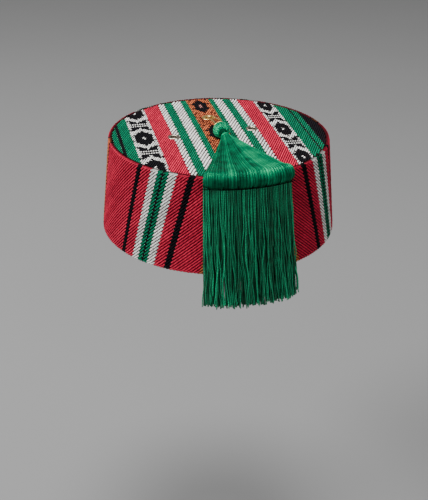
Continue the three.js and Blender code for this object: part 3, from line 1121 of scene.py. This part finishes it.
class FEZ_OT_hook(bpy.types.Operator):
    """Make the wire loop and the ball's gold cap"""

    bl_idname = "fez.hook"
    bl_label = "Wire Loop and Cap"

    def execute(self, context):
        gold = metal_finish("gilt", "gold")
        leg = (
            (1.2, -35.5, 3.1, -5.6),
            (1.2, -35.5, 1.3, -3.6),
            (1.2, -35.4, 1.3, 0.6),
            (0.9, -31.5, 2.1, 3.0),
            (0.1, -22, 3.0, 4.4),
            (-0.8, -11, 3.0, 6.2),
            (-0.2, -2.6, 2.3, 7.0),
        )
        route = [(middle + side, y, up) for middle, y, side, up in leg]
        route += [(0.5, -0.2, 7.1)]
        route += [(middle - side, y, up) for middle, y, side, up in reversed(leg)]
        points = np.array(route) * MM + np.array([0, 0, HEIGHT])
        wire = cords("wire_loop", [cord(smooth_line(points, 150), 0.7 * MM, 0)], gold, sides=14)
        settle(wire, "gold_metal", "tassel_loop")

        seat = BALL_RADIUS + 0.3 * MM
        mouth = 4.8 * MM
        lean = degrees(asin(mouth / seat))
        nose = seat + 3.2 * MM
        profile = arc(0, 0, seat, 90, 90 - lean, 8)
        lip = sqrt(seat**2 - mouth**2)
        profile += arc(mouth + 0.1 * MM, lip + 0.35 * MM, 0.45 * MM, -60, 80, 5)
        profile += [
            (mouth - 0.6 * MM, lip + 1.2 * MM),
            (3.0 * MM, nose - 1.6 * MM),
            (2.3 * MM, nose - 0.5 * MM),
            (1.2 * MM, nose - 0.05 * MM),
            (0, nose),
        ]
        points, faces = turned(profile, 48)
        count = len(points)
        ring, tube, sides, turns = 2.2 * MM, 0.65 * MM, 12, 40
        centre = nose + ring - tube
        for i in range(turns):
            a = tau * i / turns
            for j in range(sides):
                b = tau * j / sides
                reach = ring + tube * cos(b)
                up = centre + reach * sin(a)
                points.append((tube * sin(b), reach * cos(a), up))
                corner = [(i, j), (i, j + 1), (i + 1, j + 1), (i + 1, j)]
                faces.append(tuple(count + (m % turns) * sides + n % sides for m, n in corner))
        nose_forward = Matrix.Rotation(pi / 2, 3, "X")
        cap = mesh_piece("ball_cap", placed(points, BALL, nose_forward), faces, gold)
        settle(cap, "gold_metal", "tassel_cap")
        return {"FINISHED"}


class FEZ_OT_ball(bpy.types.Operator):
    """Make the silk-wound ball and its bound neck"""

    bl_idname = "fez.ball"
    bl_label = "Ball"

    def execute(self, context):
        rng = np.random.default_rng(sizes().seed + 2)
        silk = silk_finish("ball_silk", 6.0, 1.0, fuzz=0.1, rough=0.38, shine=0.05)
        profile = [(cos(a), sin(a)) for a in np.linspace(-1.4, 1.4, 21)]
        points, faces = turned([(0, -1), *profile, (0, 1)], 40)
        # The core takes the dark silk: painted shade seen between the wound threads.
        core_radius = BALL_RADIUS - 0.25 * MM
        points = placed([core_radius * Vector(point) for point in points], BALL)
        core = mesh_piece("ball_core", points, faces, silk)
        settle(core, "green_silk", "tassel_ball")
        lines = meridians(BALL, BALL_RADIUS - 0.15 * MM, 116, 0.25, 2.62, rng)
        settle(cords("ball_winding", lines, silk, sides=6), "green_silk")
        neck = NECK + np.array([0, 0, FAN_BASE + 3.2 * MM])
        turns = []
        for i in range(5):
            a = np.linspace(0, tau, 41)
            radius = NECK_HALF_WIDTH + 0.25 * MM
            back = np.full_like(a, (0.5 * i - 0.4) * MM)
            ring = np.stack([radius * np.cos(a), back, radius * np.sin(a)], 1)
            turns.append(cord(neck + ring, 0.32 * MM, 0.2))
        settle(cords("neck_binding", turns, silk, sides=6), "green_silk")
        return {"FINISHED"}


class FEZ_OT_fan(bpy.types.Operator):
    """Make the fan of strands and the roll over the crown's edge"""

    bl_idname = "fez.fan"
    bl_label = "Fan and Roll"

    def execute(self, context):
        rng = np.random.default_rng(sizes().seed + 3)
        silk = silk_finish("fan_silk", 6.0, 1.0, fuzz=0.15, rough=0.44, shine=0.05)
        settle(fan_core(silk), "green_silk", "tassel_fan")
        settle(cords("fan_strands", fan_strands(rng), silk, sides=6), "green_silk")
        return {"FINISHED"}


class FEZ_OT_fringe(bpy.types.Operator):
    """Make the hanging cords of the tassel"""

    bl_idname = "fez.fringe"
    bl_label = "Fringe"

    def execute(self, context):
        rng = np.random.default_rng(sizes().seed + 4)
        silk = silk_finish("fringe_silk", 0.0, 2.0, fuzz=0.3, rough=0.38, shine=0.85, hollow=0.3)
        columns = sizes().fringe_columns
        hidden = fringe_lines(range(OUTER_LAYER), columns + 24, rng)
        inner = cords("fringe_inner", hidden, silk, sides=5, sway=0.7 * MM)
        settle(inner, "green_silk", "tassel_fringe")
        shown = fringe_lines(range(OUTER_LAYER, OUTER_LAYER + 2), columns, rng)
        outer = cords(
            "fringe_outer",
            shown,
            silk,
            sides=8,
            lobe_depth=0.16,
            turns_per_metre=210.0,
            sway=10.0 * MM,
            sway_per_metre=26.0,
        )
        settle(outer, "green_silk")
        return {"FINISHED"}


class FEZ_OT_stitches(bpy.types.Operator):
    """Make the row of dark stitches under the roll"""

    bl_idname = "fez.stitches"
    bl_label = "Stitches"

    def execute(self, context):
        looks = {"fuzz": 0.4, "rough": 0.6, "shine": 0.1, "hollow": 0.5}
        silk = silk_finish("stitch_silk", 120.0, 2.0, **looks, dyes=("stitch", "stitch"))
        angles = np.linspace(TASSEL_LEFT, TASSEL_RIGHT, 90)
        radius = ROLL_CENTRE_RADIUS + 5.0 * MM
        row = around(angles, np.full_like(angles, radius), ROLL_BOTTOM_Z + 0.9 * MM)
        lines = [cord(row, 0.35 * MM, 0)]
        for share in np.linspace(0.06, 0.95, 7):
            angle = tassel_angle(share)
            turn = np.radians(np.linspace(-66, -22, 9))
            reach = ROLL_RADIUS + 0.35 * MM
            out = ROLL_CENTRE_RADIUS + reach * np.cos(turn)
            points = around(np.full(9, angle), out, ROLL_CENTRE_Z + reach * np.sin(turn))
            lines.append(cord(points, 0.34 * MM, 0))
        settle(cords("roll_stitches", lines, silk, sides=6), "green_silk")
        return {"FINISHED"}


OPERATORS = (
    FEZ_OT_stage,
    FEZ_OT_band,
    FEZ_OT_crown,
    FEZ_OT_eyelets,
    FEZ_OT_hook,
    FEZ_OT_ball,
    FEZ_OT_fan,
    FEZ_OT_fringe,
    FEZ_OT_stitches,
)


class FEZ_PT_panel(bpy.types.Panel):
    """Sizes, colours and pieces of the fez"""

    bl_idname = "FEZ_PT_panel"
    bl_label = "Tasselled Fez"
    bl_space_type = "VIEW_3D"
    bl_region_type = "UI"
    bl_category = "Fez"

    def draw(self, context):
        for group in (context.scene.fez_sizes, context.scene.fez_colours):
            box = self.layout.box()
            for name in group.__annotations__:
                box.prop(group, name)
        for operator in OPERATORS:
            self.layout.operator(operator.bl_idname)


CLASSES = (FezColours, FezSizes, *OPERATORS, FEZ_PT_panel)


def register():
    for cls in CLASSES:
        bpy.utils.register_class(cls)
    bpy.types.Scene.fez_colours = bpy.props.PointerProperty(type=FezColours)
    bpy.types.Scene.fez_sizes = bpy.props.PointerProperty(type=FezSizes)


def unregister():
    del bpy.types.Scene.fez_sizes
    del bpy.types.Scene.fez_colours
    for cls in reversed(CLASSES):
        bpy.utils.unregister_class(cls)


def main():
    register()
    for operator in OPERATORS:
        group, name = operator.bl_idname.split(".")
        getattr(getattr(bpy.ops, group), name)()


if __name__ == "__main__":
    main()
